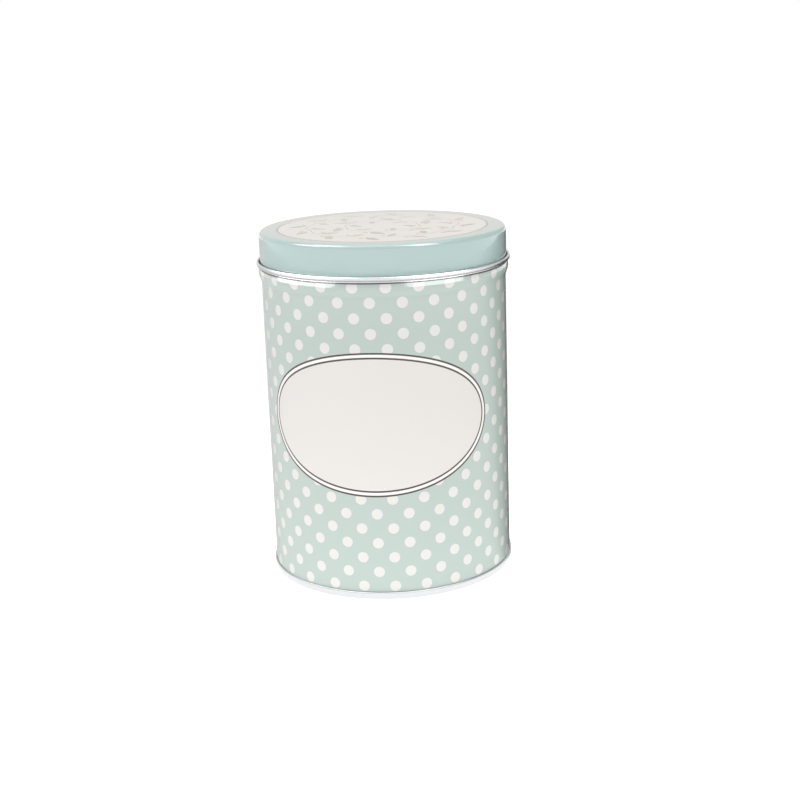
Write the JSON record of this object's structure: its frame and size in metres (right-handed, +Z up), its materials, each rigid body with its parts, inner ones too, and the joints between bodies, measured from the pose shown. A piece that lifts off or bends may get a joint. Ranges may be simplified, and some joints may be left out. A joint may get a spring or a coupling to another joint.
{
  "type": "tea caddy",
  "caption": "Round printed tinplate tea canister with a dotted wall, a bare oval label, a double-seamed base and a lid that lifts off an inner neck ring.",
  "frame": {"origin": "centre of the base, on the surface the canister stands on", "axes": "+Z up along the canister's axis, the oval label faces -Y and the side seam is at +Y"},
  "size_m": [0.1118, 0.1118, 0.1535],
  "materials": {
    "printed_wall": "glossy mint print with white dots over tinplate, bare tinplate inside",
    "bare_tinplate": "bright bare tinplate",
    "printed_lid": "glossy mint print with a cream top panel, bare tinplate inside"
  },
  "bodies": {
    "canister": {"body_shell": "printed_wall", "base": "bare_tinplate", "neck_ring": "bare_tinplate"},
    "lid": {"lid": "printed_lid"}
  },
  "joints": [
    {"name": "lid_lift", "type": "slide", "parent": "canister", "child": "lid", "axis": [0, 0, 1], "range_m": [0, 0.06]}
  ]
}
